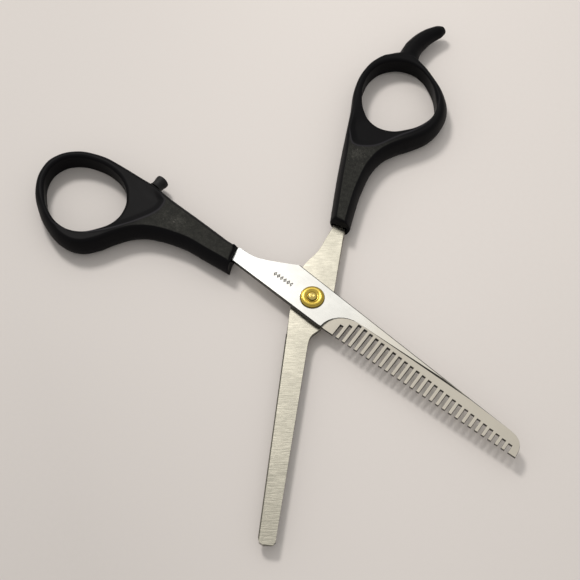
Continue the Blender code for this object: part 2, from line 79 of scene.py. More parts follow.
class HandleSizes(bpy.types.PropertyGroup):
    """Shape of the two moulded handles."""

    rest_opening: FloatProperty(
        name="Rest opening", description="Angle between the two halves as they lie",
        default=radians(59.3), subtype="ANGLE")
    grain: FloatProperty(
        name="Surface grain", description="Edge length of the handles' surface mesh",
        default=0.26 * MM, unit="LENGTH")
    shank_draft: FloatProperty(
        name="Shank draft", description="How far the shank's sides lean in at top and bottom",
        default=1.6 * MM, unit="LENGTH")
    ring_draft: FloatProperty(
        name="Ring draft", description="How far the ring's outer side leans in at top and bottom",
        default=0.5 * MM, unit="LENGTH")
    outer_draft: FloatProperty(
        name="Outer flank draft",
        description="Extra lean of the ring on its side away from the other half",
        default=1.0 * MM, unit="LENGTH")
    swell: FloatProperty(
        name="Swell", description="How far the sides stand out at half height",
        default=0.4 * MM, unit="LENGTH")
    lug_reach: FloatProperty(
        name="Lug reach",
        description="How far the lug beside the comb blade's shoulder is drawn forward",
        default=0.8 * MM, unit="LENGTH")
    draft_reach: FloatProperty(
        name="Draft reach", description="How far in from the outline the lean dies out",
        default=3.0 * MM, unit="LENGTH")
    dish_depth: FloatProperty(
        name="Dish depth",
        description="Fall from the ridge to the smooth hollow beside the ring hole",
        default=0.55 * MM, unit="LENGTH")
    ridge_height: FloatProperty(
        name="Ridge height", description="Rise of the thin ridge above the shank's flat",
        default=0.16 * MM, unit="LENGTH")
    ridge_width: FloatProperty(
        name="Ridge width", description="Width of the thin ridge line",
        default=0.55 * MM, unit="LENGTH")


class BladeSizes(bpy.types.PropertyGroup):
    """Finish of the two blades."""

    edge_break: FloatProperty(
        name="Edge break", description="Width of the small bevel along each edge of a blade",
        default=0.07 * MM, unit="LENGTH")
    back_break: FloatProperty(
        name="Back edge break",
        description="Width of the bevel along a blade's long straight edges",
        default=0.34 * MM, unit="LENGTH")
    mark_pitch: FloatProperty(
        name="Mark pitch", description="Spacing of the small etched lozenges on the comb blade",
        default=1.15 * MM, unit="LENGTH")


class PivotSizes(bpy.types.PropertyGroup):
    """Turned pieces at the pivot and the stop."""

    steps: IntProperty(name="Turning steps", description="Steps round a turned piece", default=96)


class Finishes(bpy.types.PropertyGroup):
    """Colours of the materials."""

    plastic: FloatVectorProperty(
        name="Plastic", description="Colour of the moulded handles", size=3, subtype="COLOR",
        default=(0.0042, 0.0040, 0.0046))
    rubber: FloatVectorProperty(
        name="Rubber", description="Colour of the stop bumper", size=3, subtype="COLOR",
        default=(0.0055, 0.0052, 0.0052))
    polished: FloatVectorProperty(
        name="Polished steel", description="Colour of the comb blade's spine and root", size=3,
        subtype="COLOR", default=(0.74, 0.735, 0.70))
    ground: FloatVectorProperty(
        name="Ground steel", description="Colour of the comb blade's ground face", size=3,
        subtype="COLOR", default=(0.50, 0.47, 0.405))
    satin: FloatVectorProperty(
        name="Satin steel", description="Colour of the plain blade", size=3, subtype="COLOR",
        default=(0.515, 0.49, 0.41))
    brass: FloatVectorProperty(
        name="Brass", description="Colour of the rosette and the washer", size=3, subtype="COLOR",
        default=(0.80, 0.58, 0.11))
    rivet: FloatVectorProperty(
        name="Rivet", description="Colour of the rivet", size=3, subtype="COLOR",
        default=(0.84, 0.66, 0.20))
    table: FloatVectorProperty(
        name="Table", description="Colour of the table", size=3, subtype="COLOR",
        default=(0.76, 0.715, 0.68))


class StageSettings(bpy.types.PropertyGroup):
    """Camera, light and floor."""

    elevation: FloatProperty(
        name="Camera elevation", description="Height of the camera's line of sight above the table",
        default=radians(60), subtype="ANGLE")
    heading: FloatProperty(
        name="Camera heading", description="Direction of the camera from the shears, from X",
        default=radians(6.854), subtype="ANGLE")
    distance: FloatProperty(
        name="Camera distance", description="From the camera to the middle of the view",
        default=296.4 * MM, unit="LENGTH")
    lens: FloatProperty(name="Lens", description="Focal length in millimetres", default=65.76)
    key_power: FloatProperty(
        name="Key power", description="Power of the key light in watts", default=2.5)
    sheen_power: FloatProperty(
        name="Sheen power", description="Power in watts of the light that the blades reflect",
        default=0.34)
    fill: FloatProperty(name="Fill", description="Strength of the surrounding light", default=0.545)
    floor_half: FloatProperty(
        name="Floor half width", description="Half the width of the floor", default=6.0,
        unit="LENGTH")
    # The turn of the table's painted light, from X.
    painted_light_turn: FloatProperty(
        name="Table tone turn", description="Direction of the table's slow change of tone, from X",
        default=radians(6.854), subtype="ANGLE")


class ShearsSettings(bpy.types.PropertyGroup):
    """All settings of the shears."""

    handles: PointerProperty(type=HandleSizes)
    blades: PointerProperty(type=BladeSizes)
    pivot: PointerProperty(type=PivotSizes)
    finishes: PointerProperty(type=Finishes)
    stage: PointerProperty(type=StageSettings)


# ---------------------------------------------------------------- shader maths

OBJECT_OUTPUT = 3       # of a Texture Coordinate node
FACTOR_OUTPUT = 2       # of an Attribute node
MIX_SHARE, MIX_FIRST, MIX_SECOND, MIX_COLOUR_OUTPUT = 0, 6, 7, 2    # of a Mix node set to colours


class Wire:
    """A value socket of a node tree that takes part in Python expressions."""

    def __init__(self, surface, socket):
        self.surface = surface
        self.socket = socket

    def _math(self, operation, first, second):
        return self.surface.node("ShaderNodeMath", {"operation": operation}, {0: first, 1: second})

    def __add__(self, other):
        return self._math("ADD", self, other)

    def __sub__(self, other):
        return self._math("SUBTRACT", self, other)

    def __rsub__(self, other):
        return self._math("SUBTRACT", other, self)

    def __mul__(self, other):
        return self._math("MULTIPLY", self, other)

    __radd__ = __add__
    __rmul__ = __mul__

    def above(self, other):
        """1 where this is greater, otherwise 0."""
        return self._math("GREATER_THAN", self, other)

    def below(self, other):
        """1 where this is less, otherwise 0."""
        return self._math("LESS_THAN", self, other)

    def size(self):
        return self._math("ABSOLUTE", self, 0.0)

    def modulo(self, step):
        return self._math("FLOORED_MODULO", self, step)

    def ramp(self, low, high):
        """0 at low, 1 at high, smooth between."""
        settings = {"interpolation_type": "SMOOTHSTEP"}
        return self.surface.node("ShaderNodeMapRange", settings, {0: self, 1: low, 2: high})


class Surface:
    """A material under construction, with its Principled shader."""

    def __init__(self, name, metallic=0.0):
        self.material = bpy.data.materials.new(name)
        self.material.use_nodes = True
        self.tree = self.material.node_tree
        self.shader = self.tree.nodes["Principled BSDF"]
        self.shader.inputs["Metallic"].default_value = metallic

    def node(self, kind, settings, sockets, output=0):
        """Add a node: its settings first, then the value or link of each named socket."""
        node = self.tree.nodes.new(kind)
        for key, value in settings.items():
            setattr(node, key, value)
        for key, value in sockets.items():
            if isinstance(value, Wire):
                self.tree.links.new(value.socket, node.inputs[key])
            else:
                node.inputs[key].default_value = value
        return Wire(self, node.outputs[output])

    def place(self, centre=(0, 0, 0), turn=0.0, stretch=(1, 1, 1)):
        """Object coordinates in metres, seen from a centre, turned back about Z and stretched."""
        point = {"vector_type": "POINT"}
        spot = self.node("ShaderNodeTexCoord", {}, {}, output=OBJECT_OUTPUT)
        back = tuple(-value for value in centre)
        moved = self.node("ShaderNodeMapping", point, {"Vector": spot, "Location": back})
        turned = self.node("ShaderNodeMapping", point, {"Vector": moved, "Rotation": (0, 0, -turn)})
        return self.node("ShaderNodeMapping", point, {"Vector": turned, "Scale": stretch})

    def split(self, vector):
        """X, Y and Z of a vector."""
        first = self.node("ShaderNodeSeparateXYZ", {}, {0: vector})
        outputs = first.socket.node.outputs
        return first, Wire(self, outputs[1]), Wire(self, outputs[2])

    def noise(self, vector, scale, detail=3.0, roughness=0.55):
        """Cloudy values from 0 to 1."""
        sockets = {"Vector": vector, "Scale": scale, "Detail": detail, "Roughness": roughness}
        return self.node("ShaderNodeTexNoise", {}, sockets)

    def attribute(self, name):
        """A number stored on the mesh."""
        return self.node("ShaderNodeAttribute", {"attribute_name": name}, {}, output=FACTOR_OUTPUT)

    def mix(self, share, low, high):
        """Blend two colours, given as numbers or as wires."""
        first, second = (value if isinstance(value, Wire) else (*value, 1.0)
                         for value in (low, high))
        sockets = {MIX_SHARE: share, MIX_FIRST: first, MIX_SECOND: second}
        return self.node("ShaderNodeMix", {"data_type": "RGBA"}, sockets, output=MIX_COLOUR_OUTPUT)

    def bump(self, height, distance, strength, under=None):
        """A normal that follows a height, laid over another normal if one is given."""
        sockets = {"Height": height, "Distance": distance, "Strength": strength}
        if under:
            sockets["Normal"] = under
        return self.node("ShaderNodeBump", {}, sockets)

    def feed(self, socket, wire):
        """Link a wire to one of the shader's sockets."""
        self.tree.links.new(wire.socket, self.shader.inputs[socket])


# ---------------------------------------------------------------- materials

def shade(colour, factor):
    """A colour made darker or lighter."""
    return tuple(channel * factor for channel in colour)


def moulded_plastic(name, colour, turn, scuff_at):
    """Black plastic: fine grain on the shank's flats, a painted highlight along the ridge line,
    smoother hollows, faint dust, pale scuffs.
    """
    handled, dusty = (0.046, 0.046, 0.040), (0.10, 0.098, 0.09)
    smeared, scuffed = (0.10, 0.097, 0.086), (0.20, 0.19, 0.17)
    scuff_reach, smear_reach = 6.5 * MM, 2.4 * MM
    surface = Surface(name)
    spot = surface.place(PIVOT, turn)
    flat = surface.attribute("flat")
    # Where the ridge line's painted highlight lies.
    painted_ridge_highlight = surface.attribute("ridge")
    grain = surface.noise(spot, 5200.0, 2.0, 0.7)
    coarse = surface.noise(spot, 900.0, 3.0, 0.6)
    cloud = surface.noise(spot, 140.0, 3.0, 0.6)
    streak = surface.noise(surface.place(PIVOT, turn, (1.0, 2.2, 1.0)), 1500.0, 4.0, 0.7)
    dust = surface.noise(spot, 2600.0, 1.0, 0.5).ramp(0.74, 0.80) * 0.35

    x, y, _ = surface.split(spot)
    dx, dy = x - scuff_at[0], y - scuff_at[1]
    off_scuff = dx * dx + dy * dy
    scuff = streak.ramp(0.60, 0.74) * (1.0 - off_scuff.ramp(0.0, scuff_reach ** 2)) * flat
    smear = (1.0 - off_scuff.ramp(0.0, smear_reach ** 2)) * (0.25 + coarse * 0.75)
    smear = smear * flat * streak.ramp(0.35, 0.65)

    lift = flat * (0.35 + cloud * 0.7 + coarse.ramp(0.35, 0.7) * 0.35)
    speckle = grain.ramp(0.35, 0.75)
    base = surface.mix(lift * (0.5 + speckle * 0.5), colour, handled)
    # Painted highlight: the ridge line is painted much lighter than the plastic.
    base = surface.mix(painted_ridge_highlight * 0.6, base, shade(colour, 11.0))
    base = surface.mix(smear * 0.65, base, smeared)
    base = surface.mix(dust * flat, base, dusty)
    surface.feed("Base Color", surface.mix(scuff * 0.75, base, scuffed))
    surface.feed("Roughness", 0.40 + flat * 0.16 + cloud * 0.10 + grain * 0.06)
    fine = surface.bump(grain * (0.3 + flat), 0.035 * MM, 0.7)
    surface.feed("Normal", surface.bump(coarse, 0.05 * MM, 0.35, under=fine))
    surface.shader.inputs["Specular IOR Level"].default_value = 0.06
    return surface.material


def soft_rubber(name, colour):
    """Dull rubber with a pressed grain."""
    surface = Surface(name)
    spot = surface.place(PIVOT)
    grain = surface.noise(spot, 3000.0, 3.0, 0.6)
    cloud = surface.noise(spot, 500.0)
    surface.feed("Base Color", surface.mix(cloud, colour, shade(colour, 2.6)))
    surface.feed("Roughness", 0.46 + grain * 0.20)
    surface.feed("Normal", surface.bump(grain, 0.05 * MM, 0.6))
    surface.shader.inputs["Specular IOR Level"].default_value = 0.22
    return surface.material


def brush_lines(surface, turn, along, across):
    """Fine scratches: noise drawn out along one direction."""
    return surface.noise(surface.place(PIVOT, turn, (along, across, 1.0)), 1000.0, 4.0, 0.65)


def etched_row(x, y, pitch):
    """A row of small open lozenges beside the comb blade's root."""
    start, end, level = -13.4 * MM, -6.9 * MM, -0.2 * MM
    outer, inner = (0.72 * MM, 0.84 * MM), (0.16 * MM, 0.26 * MM)
    place = (x - start).modulo(pitch) - pitch / 2
    spread = place.size() * 1.5 + (y - level).size()
    lozenge = 1.0 - spread.ramp(*outer)
    hollow = 1.0 - spread.ramp(*inner)
    return (lozenge - hollow) * x.above(start) * x.below(end)


def comb_steel(name, polished, ground, turn, pitch):
    """Bright spine and root, warm satin ground face, and a row of small etched lozenges; painted
    shade darkens the ground face towards its root and the side walls and bevels, and a painted cool
    reflection greys the root near the mouth.
    """
    painted_mouth_reflection, etched_grey = (0.40, 0.43, 0.44), (0.10, 0.095, 0.09)
    ground_length, mouth_reflection_ramp, dull_start = ((5.0 * MM, 66.0 * MM), (-25.0 * MM, -14.0 * MM),
                                             (8.0 * MM, 26.0 * MM))
    surface = Surface(name, metallic=1.0)
    spot = surface.place(PIVOT, turn)
    x, y, _ = surface.split(spot)
    worked = surface.attribute("ground")
    side = surface.attribute("side")
    lines = brush_lines(surface, turn, 7.0, 0.35)
    fine = brush_lines(surface, turn, 0.25, 5.0)
    cloud = surface.noise(spot, 160.0, 4.0, 0.6)
    etched = etched_row(x, y, pitch) * (1.0 - side)

    # Painted shade: the ground face is painted darker towards its root and lighter towards the tip.
    tone = surface.mix(x.ramp(*ground_length), shade(ground, 0.66), shade(ground, 1.24))
    tone = surface.mix(cloud * 0.5, tone, ground)
    bright = surface.mix(fine.ramp(0.45, 0.75) * 0.5, polished, shade(polished, 0.86))
    bright = surface.mix(cloud.ramp(0.35, 0.65) * 0.6, bright, shade(polished, 0.86))
    # Painted reflection: the polished root is painted cool grey near the mouth.
    bright = surface.mix((1.0 - x.ramp(*mouth_reflection_ramp)) * 0.6, bright, painted_mouth_reflection)
    dulled = x.ramp(*dull_start) * 0.75
    bright = surface.mix(dulled, bright, shade(ground, 1.22))
    base = surface.mix(worked, bright, tone)
    # Painted shade and painted dark reflection: side walls and bevels are painted nearly black.
    base = surface.mix(side * 0.95, base, shade(ground, 0.07))
    surface.feed("Base Color", surface.mix(etched * (0.65 + cloud * 0.6), base, etched_grey))
    surface.feed("Roughness", (0.19 + worked * 0.16 + dulled * 0.10 + lines * 0.08 + etched * 0.25
                               + side * 0.12))
    brushed = surface.bump(lines * worked + fine * (1.0 - worked) * 0.5, 0.012 * MM, 0.6)
    surface.feed("Normal", surface.bump(1.0 - etched, 0.02 * MM, 0.8, under=brushed))
    return surface.material


def plain_steel(name, satin):
    """Cross-ground satin steel with faint bands, light spots, a painted sheen that makes the root
    brighter, and painted shade on its side walls and bevels.
    """
    root_end = (-4.0 * MM, 24.0 * MM)
    surface = Surface(name, metallic=1.0)
    spot = surface.place(PIVOT)
    side = surface.attribute("side")
    lines = brush_lines(surface, radians(4), 3.4, 0.30).ramp(0.25, 0.75)
    bands = brush_lines(surface, radians(-3), 0.6, 0.06)
    scales = surface.noise(spot, 1300.0, 2.0, 0.6)
    cloud = surface.noise(spot, 110.0, 4.0, 0.6)
    spots = surface.noise(spot, 1500.0, 2.0, 0.5).ramp(0.70, 0.78)

    # Painted sheen: the blade is painted lighter towards its root.
    root = 1.0 - surface.split(spot)[0].ramp(*root_end)
    low = surface.mix(root, shade(satin, 0.88), shade(satin, 1.14))
    high = surface.mix(root, shade(satin, 1.10), shade(satin, 1.42))
    base = surface.mix(lines * 0.6 + scales * 0.4, low, high)
    base = surface.mix(bands.ramp(0.35, 0.7) * 0.35, base, shade(satin, 1.22))
    base = surface.mix(cloud.ramp(0.4, 0.65) * 0.4, base, shade(satin, 0.80))
    base = surface.mix(spots * 0.5, base, shade(satin, 0.55))
    # Painted shade: side walls and bevels are painted dark.
    surface.feed("Base Color", surface.mix(side * 0.85, base, shade(satin, 0.30)))
    surface.feed("Roughness", 0.22 + lines * 0.09 + spots * 0.1)
    brushed = surface.bump(lines, 0.016 * MM, 0.7)
    surface.feed("Normal", surface.bump(bands, 0.02 * MM, 0.4, under=brushed))
    return surface.material


def turned_brass(name, colour, hollows):
    """Yellow brass with turning rings, tiny nicks, and painted shade at each (radius, width) of the
    hollows and the rim.
    """
    turning_rings = 52000.0
    surface = Surface(name, metallic=1.0)
    spot = surface.place(PIVOT)
    radius = surface.node("ShaderNodeVectorMath", {"operation": "LENGTH"},
                          {0: surface.place(PIVOT, 0.0, (1, 1, 0))}, output=1)
    rings = surface.node("ShaderNodeMath", {"operation": "SINE"}, {0: radius * turning_rings})
    cloud = surface.noise(spot, 900.0, 3.0, 0.6)
    nick = surface.noise(spot, 3400.0, 2.0, 0.6).ramp(0.66, 0.78)
    base = surface.mix(cloud.ramp(0.35, 0.75) * 0.5, colour, shade(colour, 0.62))
    base = surface.mix(nick * 0.4, base, shade(colour, 0.35))
    for place, width in hollows:
        # Painted shade: each hollow, and the rosette's rim, is painted dark brown.
        hollow_shade = 1.0 - ((radius - place).size() + cloud * width * 0.3).ramp(width * 0.3, width)
        base = surface.mix(hollow_shade * 0.85, base, shade(colour, 0.13))
    surface.feed("Base Color", base)
    surface.feed("Roughness", 0.17 + cloud * 0.16 + nick * 0.15)
    surface.feed("Normal", surface.bump(rings + cloud * 1.5, 0.006 * MM, 0.5))
    return surface.material


def pale_table(name, colour, turn):
    """Pale laminate with a faint mottle, a very slight grain, and painted light: a slow change from
    darker to brighter across the table.
    """
    rise, fall = (-90 * MM, 50 * MM), (-20 * MM, 120 * MM)
    surface = Surface(name)
    spot = surface.place()
    cloud = surface.noise(spot, 9.0, 3.0, 0.55)
    grain = surface.noise(spot, 700.0, 2.0, 0.6)
    x, y, _ = surface.split(surface.place(turn=turn))
    # Painted light: the table is painted brighter towards one side and darker towards the other.
    slope = y.ramp(*rise) - x.ramp(*fall) * 0.25
    tone = surface.mix(slope, shade(colour, 0.83), shade(colour, 1.09))
    tone = surface.mix(cloud * 0.3, tone, shade(colour, 0.98))
    surface.feed("Base Color", surface.mix(grain * 0.25, tone, shade(colour, 0.97)))
    surface.feed("Roughness", 0.50 + grain * 0.08)
    surface.feed("Normal", surface.bump(grain, 0.03 * MM, 0.25))
    return surface.material


# ---------------------------------------------------------------- mesh helpers

MERGE_DISTANCE = 0.002 * MM
FLAT_ANGLE = radians(0.4)       # faces that turn by less are one flat


def show(item):
    """Put an object in the scene."""
    bpy.context.scene.collection.objects.link(item)
    return item


def finish_piece(name, work, material, body, nodes, smooth_angle=radians(32)):
    """Turn a bmesh into a shown piece that rides on a body and stands for its CAD nodes."""
    mesh = bpy.data.meshes.new(name)
    work.to_mesh(mesh)
    work.free()
    mesh.materials.clear()
    mesh.materials.append(material)
    mesh.shade_smooth()
    mesh.set_sharp_from_angle(angle=smooth_angle)
    piece = show(bpy.data.objects.new(name, mesh))
    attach(piece, body)
    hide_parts(*nodes)
    return piece


def merged_copy(node):
    """The CAD node's mesh with its loose triangles joined and its flats made whole again."""
    work = bmesh.new()
    work.from_mesh(frame["nodes"][node].data)
    bmesh.ops.remove_doubles(work, verts=work.verts, dist=MERGE_DISTANCE)
    bmesh.ops.dissolve_limit(work, angle_limit=FLAT_ANGLE, verts=work.verts, edges=work.edges,
                             delimit={"NORMAL"})
    return work


def break_edges(work, width, shortest, longest, segments=2, least_angle=radians(25)):
    """Bevel the edges within a range of lengths that turn by more than an angle."""
    sharp = [edge for edge in work.edges
             if len(edge.link_faces) == 2 and edge.calc_face_angle(0.0) > least_angle
             and shortest < edge.calc_length() < longest]
    bmesh.ops.bevel(work, geom=sharp, offset=width, offset_type="OFFSET", affect="EDGES",
                    segments=segments, profile=0.5, material=-1, clamp_overlap=False)


def mark_faces(work, layers):
    """Write a number on each face for every named rule."""
    for name, rule in layers.items():
        layer = work.faces.layers.float.new(name)
        for face in work.faces:
            face[layer] = rule(face)


def turned_piece(profile, steps):
    """Spin (radius, height) points, listed from the axis outwards and down, about Z."""
    work = bmesh.new()
    ring = [work.verts.new((radius, 0.0, height)) for radius, height in profile]
    edges = [work.edges.new(pair) for pair in zip(ring, ring[1:])]
    bmesh.ops.spin(work, geom=ring + edges, cent=(0, 0, 0), axis=(0, 0, 1), angle=2 * pi,
                   steps=steps, use_merge=True, use_duplicate=False)
    bmesh.ops.remove_doubles(work, verts=work.verts, dist=MERGE_DISTANCE / 4)
    bmesh.ops.recalc_face_normals(work, faces=work.faces)
    return work


def arc(centre, radius, start, end, steps):
    """Points on an arc of a profile, with angles from the radius direction."""
    places = [start + (end - start) * step / steps for step in range(steps + 1)]
    return [(centre[0] + radius * cos(angle), centre[1] + radius * sin(angle)) for angle in places]


# ---------------------------------------------------------------- handles

# Places on a handle are in its half's own drawing: from the pivot, with the blade's tip along +X.
THUMB_RIDGE = ((-58.5, 3.4), (-54.97, 0.38), (-53.0, -1.1), (-52.29, -4.06), (-52.82, -6.83),
               (-54.22, -9.92), (-56.65, -14.47), (-60.0, -19.2), (-64.5, -23.6), (-71.0, -26.6),
               (-79.0, -28.0))
FINGER_RIDGE = ((-66.5, 4.0), (-60.73, 4.20), (-57.88, 4.70), (-54.54, 5.69), (-53.03, 7.41),
                (-52.79, 10.15), (-53.84, 14.14), (-58.00, 20.18), (-61.2, 25.2), (-65.5, 29.3),
                (-72.5, 31.6), (-80.5, 33.2))

# side is +1 where the flank away from the other half faces local +Y, and -1 where it faces -Y.
# level is the height at which the outline is taken.  ridge is in millimetres.
Handle = namedtuple("Handle", "piece node body slot side level ring ridge scuff")
SECTION_OFFSET = 2.4 * MM
THUMB = Handle("thumb_handle_moulded", "thumb_handle", THUMB_HALF, "thumb_plastic", -1,
               MID - SECTION_OFFSET, (-74.0 * MM, -14.3 * MM), THUMB_RIDGE, (-45.5 * MM, -4.6 * MM))
FINGER = Handle("finger_handle_moulded", "finger_handle", FINGER_HALF, "finger_plastic", 1,
                MID + SECTION_OFFSET, (-74.0 * MM, 19.2 * MM), FINGER_RIDGE, (-49.5 * MM, 8.0 * MM))

# A ramp is where something starts and where it is full.
SHANK_RAMP = (-60.0 * MM, -50.0 * MM)       # X, from ring to shank
HOOK_RAMP = (-91.0 * MM, -94.0 * MM)        # X, from ring to finger rest
SLIM_RAMP = (-78.0 * MM, -67.0 * MM)        # X, where the inner flank loses its swell
INNER_RAMP = (-0.1, 0.2)                    # sine of the bearing, towards the other half
LUG_RAMP = (-6.0 * MM, -3.2 * MM)           # X from the mouth
LUG_SIDE_RAMP = (-3.5 * MM, -0.5 * MM)      # Y
DISH_RAMP = (0.0, 2.6 * MM)                 # from the ridge towards the ring
DISH_END_RAMP = (0.5 * MM, 7.0 * MM)        # from the ridge's ends
RIDGE_START_RAMP = (0.0, 0.22)              # share of the ridge's length
RIDGE_END_RAMP = (0.0, 0.30)
FLAT_RIDGE_RAMP = (-0.5 * MM, 0.1 * MM)     # where the grained flat ends: at the ridge,
FLAT_FLANK_RAMP = (0.7 * MM, 1.3 * MM)      # at the flanks
FLAT_MOUTH_RAMP = (0.5 * MM, 1.1 * MM)      # and at the mouth
FLAT_LEVEL_RAMP = (0.93, 0.985)             # share of the half height
# Where the painted highlight on the ridge starts and is full, as a share of the half height.
HIGHLIGHT_LEVEL_RAMP = (0.9, 1.0)
SINK_LEVEL_RAMP = (0.25, 1.0)
# How far in from the flanks the painted highlight on the ridge begins.
HIGHLIGHT_INSET = 0.6 * MM

# Patches of the finger rest that are relaxed: from X, to X, and how many rounds.
HOOK_PATCHES = ((-97.5 * MM, -90.8 * MM, 45), (-1.0, -104.8 * MM, 16))

OUTLINE_STEP = 0.2 * MM
RIDGE_STEP = 0.15 * MM
MOUTH_CUT = 2.5 * MM            # the outline is dropped from here to the mouth
MOUTH_FIT = 4.5 * MM            # and carried on from the line it follows from here
MOUTH_BEYOND = 3.0 * MM


def smooth_share(value, low, high):
    """0 at low, 1 at high, smooth between."""
    share = np.clip((value - low) / (high - low), 0.0, 1.0)
    return share * share * (3 - 2 * share)


def relax(work, rounds, factor):
    """Smooth a whole mesh a little."""
    for _ in range(rounds):
        bmesh.ops.smooth_vert(work, verts=work.verts, factor=factor, use_axis_x=True,
                              use_axis_y=True, use_axis_z=True)


def fine_solid(node, grain):
    """The CAD solid as an even mesh of small faces."""
    work = merged_copy(node)
    mesh = bpy.data.meshes.new(node + "_fine")
    work.to_mesh(mesh)
    work.free()
    holder = show(bpy.data.objects.new(mesh.name, mesh))
    remesh = holder.modifiers.new("Even", "REMESH")
    remesh.mode = "VOXEL"
    remesh.voxel_size = grain
    bpy.context.view_layer.update()
    finished = holder.evaluated_get(bpy.context.evaluated_depsgraph_get())
    even = bpy.data.meshes.new_from_object(finished)
    bpy.data.objects.remove(holder, do_unlink=True)
    work = bmesh.new()
    work.from_mesh(even)
    bpy.data.meshes.remove(even)
    return work


def section_loops(node, level):
    """Closed outlines of a CAD node at one height, as arrays of world (x, y)."""
    work = merged_copy(node)
    geometry = work.verts[:] + work.edges[:] + work.faces[:]
    cut = bmesh.ops.bisect_plane(work, geom=geometry, plane_co=(0, 0, level), plane_no=(0, 0, 1))
    edges = [item for item in cut["geom_cut"] if isinstance(item, bmesh.types.BMEdge)]
    left = set(edges)
    loops = []
    while left:
        edge = left.pop()
        start, spot = edge.verts
        loop = [start, spot]
        while spot is not start:
            following = next((item for item in spot.link_edges if item in left), None)
            if following is None:
                break
            left.discard(following)
            spot = following.other_vert(spot)
            loop.append(spot)
        loops.append(np.array([vert.co.xy[:] for vert in loop]))
    work.free()
    return loops


def dense(points, step):
    """Extra points along a run of (x, y) points, no further apart than a step."""
    runs = []
    for first, second in zip(points[:-1], points[1:]):
        count = max(1, int(np.hypot(*(second - first)) / step))
        share = np.linspace(0, 1, count, endpoint=False)[:, None]
        runs.append(first + (second - first) * share)
    return np.vstack(runs + [points[-1:]])


def nearest(points, places):
    """Distance to the nearest of some points, and which one it is, for each place."""
    tree = KDTree(len(points))
    for index, (x, y) in enumerate(points):
        tree.insert((x, y, 0.0), index)
    tree.balance()
    found = [tree.find((x, y, 0.0)) for x, y in places]
    return np.array([item[2] for item in found]), np.array([item[1] for item in found])


def smooth_run(knots, step):
    """A smooth curve through knots, sampled evenly enough for distances."""
    knots = [np.array(knot) * MM for knot in knots]
    ends = [2 * knots[0] - knots[1]] + knots + [2 * knots[-1] - knots[-2]]
    points = []
    for a, b, c, d in zip(ends, ends[1:], ends[2:], ends[3:]):
        count = max(2, int(np.hypot(*(c - b)) / step))
        for share in np.linspace(0, 1, count, endpoint=False):
            points.append(0.5 * (2 * b + (c - a) * share + (2 * a - 5 * b + 4 * c - d) * share ** 2
                                 + (3 * b - a - 3 * c + d) * share ** 3))
    points.append(knots[-1])
    return np.array(points)


def turned_back(points, turn):
    """World (x, y) seen from the pivot in a half's own drawing."""
    shifted = np.asarray(points) - np.array(PIVOT.xy)
    c, s = cos(turn), sin(turn)
    return shifted @ np.array([[c, -s], [s, c]])


def turned_out(points, turn):
    """A half's own drawing put back in the world."""
    c, s = cos(turn), sin(turn)
    return np.asarray(points) @ np.array([[c, s], [-s, c]]) + np.array(PIVOT.xy)


def inward_normals(loop):
    """Unit normals of a closed dense outline that point to its inside."""
    ahead = np.roll(loop, -2, axis=0) - np.roll(loop, 2, axis=0)
    area = np.sum(loop[:, 0] * np.roll(loop[:, 1], -1) - np.roll(loop[:, 0], -1) * loop[:, 1])
    normals = np.stack([-ahead[:, 1], ahead[:, 0]], axis=1) * np.sign(area)
    return normals / np.maximum(np.linalg.norm(normals, axis=1), 1e-12)[:, None]


def open_at_mouth(outline, normals, mouth):
    """The outline's two flanks without the end face, carried on past the mouth."""
    kept = outline[:, 0] < mouth - MOUTH_CUT
    flanks, facing = [outline[kept]], [normals[kept]]
    near = kept & (outline[:, 0] > mouth - MOUTH_FIT)
    middle = outline[near, 1].mean()
    for part in (near & (outline[:, 1] > middle), near & (outline[:, 1] < middle)):
        slope, level = np.polyfit(outline[part, 0], outline[part, 1], 1)
        x = np.arange(mouth - MOUTH_CUT, mouth + MOUTH_BEYOND, OUTLINE_STEP)
        flanks.append(np.stack([x, slope * x + level], axis=1))
        facing.append(np.repeat(normals[part].mean(axis=0)[None], len(x), axis=0))
    return np.vstack(flanks), np.vstack(facing)


def from_flanks(handle, turn, places):
    """Each place's distance from the side walls, their inward normal there, and the mouth's X."""
    loops = [turned_back(loop, turn) for loop in section_loops(handle.node, handle.level)]
    loops.sort(key=lambda loop: np.ptp(loop[:, 0]) * np.ptp(loop[:, 1]), reverse=True)
    mouth = loops[0][:, 0].max()
    outer = dense(loops[0], OUTLINE_STEP)[:-1]
    flanks, facing = open_at_mouth(outer, inward_normals(outer), mouth)
    gap, index = nearest(flanks, places)
    return gap, facing[index], mouth


def from_ridge(handle, places):
    """Each place's distance from the ridge, the same with a sign (+ towards the ring), its share
    of the way along the ridge, and its distance from the nearer end."""
    ridge = smooth_run(handle.ridge, RIDGE_STEP)
    apart, spot = nearest(ridge, places)
    ahead = np.gradient(ridge, axis=0)[spot]
    offset = places - ridge[spot]
    turned = ahead[:, 0] * offset[:, 1] - ahead[:, 1] * offset[:, 0]
    signed = apart * np.sign(turned) * handle.side
    to_ends = [np.linalg.norm(places - ridge[end], axis=1) for end in (0, -1)]
    return apart, signed, spot / (len(ridge) - 1), np.minimum(*to_ends)


